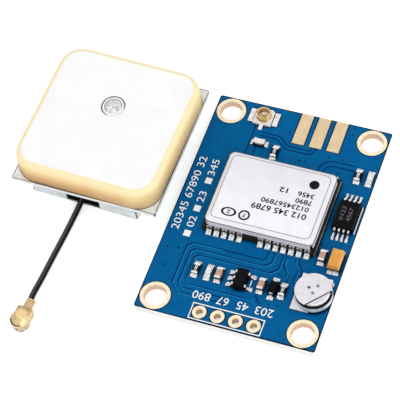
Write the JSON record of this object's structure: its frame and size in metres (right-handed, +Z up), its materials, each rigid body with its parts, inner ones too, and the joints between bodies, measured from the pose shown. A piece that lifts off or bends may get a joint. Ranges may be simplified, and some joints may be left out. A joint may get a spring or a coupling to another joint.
{
  "type": "gps receiver module with patch antenna",
  "caption": "Small blue receiver board with a shielded radio module, a tabbed backup cell, plated mounting holes and a separate square ceramic patch antenna on a short coaxial lead.",
  "frame": {"origin": "centre of the four mounting holes, on the board's underside, which is the ground", "axes": "+X along the board's short side, away from the antenna; +Y along its long side, from the header towards the antenna socket; +Z up through the mounting holes"},
  "size_m": [0.0479, 0.0434, 0.0085],
  "materials": {
    "board_laminate": "lacquered glass laminate with pale cut edges",
    "blue_lacquer": "glossy blue lacquer over copper tracks",
    "gold_plate": "bright gold plate",
    "tin_plate": "tinned metal",
    "white_print": "matt white ink",
    "solder": "bright reflowed solder",
    "module_laminate": "dark glass laminate",
    "shield_sheet": "satin plated sheet",
    "black_mould": "matt black moulding resin",
    "capacitor_ceramic": "tan fired ceramic",
    "white_plastic": "moulded white plastic",
    "coil_ceramic": "white glazed ceramic",
    "resistor_black": "black glaze on white ceramic",
    "lamp_laminate": "white laminate",
    "clear_resin": "clear cast resin",
    "yellow_mould": "amber moulding resin",
    "cell_steel": "bright nickel-plated steel",
    "black_rubber": "matt black seal",
    "antenna_ceramic": "fine cream ceramic",
    "silver_film": "fired silver, matt white",
    "antenna_laminate": "white-lacquered laminate",
    "can_sheet": "satin tinned sheet",
    "lead_jacket": "smooth black jacket"
  },
  "bodies": {
    "root": {"circuit_board": "board_laminate", "solder_mask": "blue_lacquer", "mounting_hole_plating": "gold_plate", "header_hole_plating": "tin_plate", "edge_pads": "tin_plate", "board_print": "white_print", "solder_joints": "solder", "module_board": "module_laminate", "module_contacts": "gold_plate", "module_solder": "solder", "module_shield": "shield_sheet", "receiver_chip": "black_mould", "module_crystal": "shield_sheet", "module_filter": "capacitor_ceramic", "module_amplifier": "black_mould", "socket_base": "white_plastic", "socket_shell": "gold_plate", "socket_pin": "gold_plate", "aerial_coil": "coil_ceramic", "aerial_resistor": "resistor_black", "fix_lamp_resistor": "resistor_black", "power_lamp_resistor": "resistor_black", "data_resistor": "resistor_black", "input_capacitor": "capacitor_ceramic", "output_capacitor": "capacitor_ceramic", "memory_capacitor": "capacitor_ceramic", "coil_ends": "tin_plate", "resistor_ends": "tin_plate", "capacitor_ends": "tin_plate", "fix_lamp_base": "lamp_laminate", "fix_lamp_lens": "clear_resin", "power_lamp_base": "lamp_laminate", "power_lamp_lens": "clear_resin", "lamp_ends": "tin_plate", "regulator_body": "black_mould", "regulator_legs": "tin_plate", "memory_chip_body": "black_mould", "memory_chip_legs": "tin_plate", "diode_body": "black_mould", "diode_leads": "tin_plate", "tantalum_body": "yellow_mould", "tantalum_terminals": "tin_plate", "cell_can": "cell_steel", "cell_gasket": "black_rubber", "cell_cap": "cell_steel", "cell_top_tab": "cell_steel", "cell_bottom_tab": "cell_steel", "antenna_ceramic": "antenna_ceramic", "antenna_patch": "silver_film", "antenna_feed_pin": "solder", "antenna_film": "black_rubber", "antenna_board": "antenna_laminate", "antenna_can": "can_sheet", "antenna_amplifier": "black_mould", "antenna_filter": "capacitor_ceramic", "antenna_lead": "lead_jacket", "plug_shell": "gold_plate", "plug_insulator": "white_plastic", "plug_contact": "gold_plate"}
  },
  "joints": []
}
